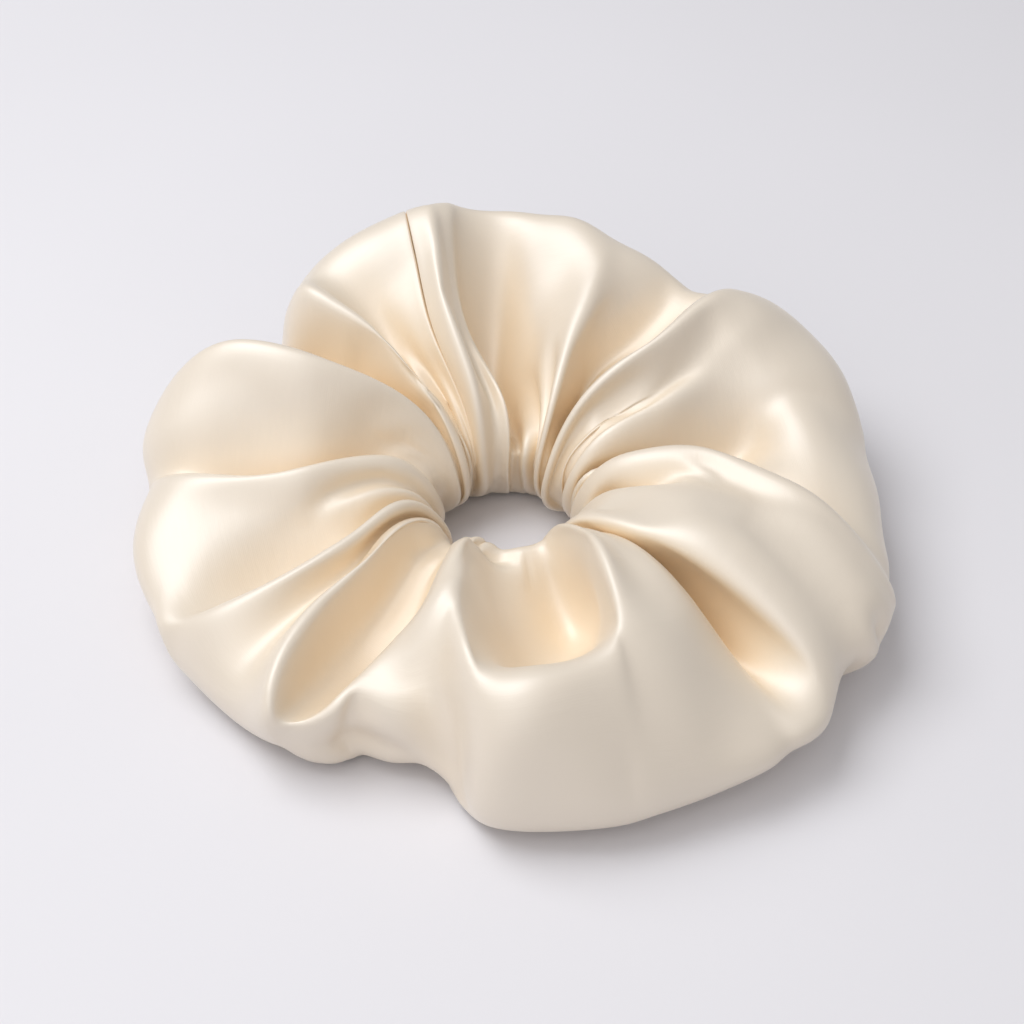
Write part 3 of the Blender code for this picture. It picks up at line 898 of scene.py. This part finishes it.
def floor_material():
    material, tree, shader = new_material("plain_table")
    coordinates = add_node(tree, "ShaderNodeTexCoord")
    cloudy = noise(tree, coordinates.outputs["Object"], 9.0, 2.0)
    tree.links.new(mixed(tree, cloudy, TABLE_LOW, TABLE_HIGH), shader.inputs["Base Color"])
    grain = noise(tree, coordinates.outputs["Object"], 1800.0, 2.0)
    bumped(tree, [(grain, 0.05, 0.1 * MM)], shader)
    shader.inputs["Roughness"].default_value = 0.75
    shader.inputs["Specular IOR Level"].default_value = 0.2
    return material


# Camera, light and table

CAMERA_ELEVATION = 41.0
CAMERA_DISTANCE = 0.30294
CAMERA_LENS = 70.0
AIM_FROM_AXIS = np.array([0.0010947, -0.001241, 0.011439])
WORLD_COLOUR, WORLD_STRENGTH = (0.985, 0.985, 1.0, 1), 0.46
KEY_COLOUR, FILL_COLOUR = (0.97, 0.985, 1.0), (1.0, 0.99, 0.98)
TABLE_HALF = 2.0


def aimed(obj, position, target):
    obj.location = position
    obj.rotation_euler = (Vector(target) - Vector(position)).to_track_quat("-Z", "Y").to_euler()
    bpy.context.scene.collection.objects.link(obj)
    return obj


def make_camera():
    data = bpy.data.cameras.new("camera")
    data.lens = CAMERA_LENS
    data.sensor_width = 36
    data.clip_start = 0.01
    aim = AXIS + AIM_FROM_AXIS
    tilt = radians(CAMERA_ELEVATION)
    position = aim + CAMERA_DISTANCE * np.array([0, -cos(tilt), sin(tilt)])
    bpy.context.scene.camera = aimed(bpy.data.objects.new("camera", data), position, aim)


def make_light(name, position, size, power, colour):
    data = bpy.data.lights.new(name, "AREA")
    data.size = size
    data.energy = power
    data.color = colour
    return aimed(bpy.data.objects.new(name, data), position, (0, 0, 0.01))


def make_world():
    world = bpy.data.worlds.new("studio")
    bpy.context.scene.world = world
    world.use_nodes = True
    background = world.node_tree.nodes["Background"]
    background.inputs["Color"].default_value = WORLD_COLOUR
    background.inputs["Strength"].default_value = WORLD_STRENGTH


def make_table(material):
    half = TABLE_HALF
    corners = [(-half, -half, 0), (half, -half, 0), (half, half, 0), (-half, half, 0)]
    table = new_mesh_object("table", corners, [(0, 1, 2, 3)])
    table.data.materials.append(material)


def set_stage():
    bpy.context.scene.view_settings.view_transform = "Standard"
    make_world()
    make_camera()
    make_light("key", (-0.30, 0.08, 0.61), 0.5, 3.2, KEY_COLOUR)
    make_light("front_fill", (-0.20, -0.52, 0.52), 0.8, 1.8, FILL_COLOUR)
    make_table(floor_material())


def rides_and_replaces(piece, body, node):
    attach(piece, body)
    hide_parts(node)


def main():
    set_stage()
    satin, elastic, thread_look = satin_material(), elastic_material(), thread_material()
    strip = opened(sleeve_grid())
    sleeve = make_sleeve(strip, satin)
    rides_and_replaces(sleeve, "sleeve", "satin_sleeve")
    seams = sleeve_threads(strip, thread_look)
    for name, piece in seams.items():
        rides_and_replaces(piece, "sleeve", name)
    band = make_elastic(elastic)
    rides_and_replaces(band, "elastic", "elastic_band")
    for name, piece in lap_threads(thread_look).items():
        rides_and_replaces(piece, "elastic", name)
    # The cut size is assumed. The folds as modelled would take a strip of about 0.126 x 0.397.
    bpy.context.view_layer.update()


main()
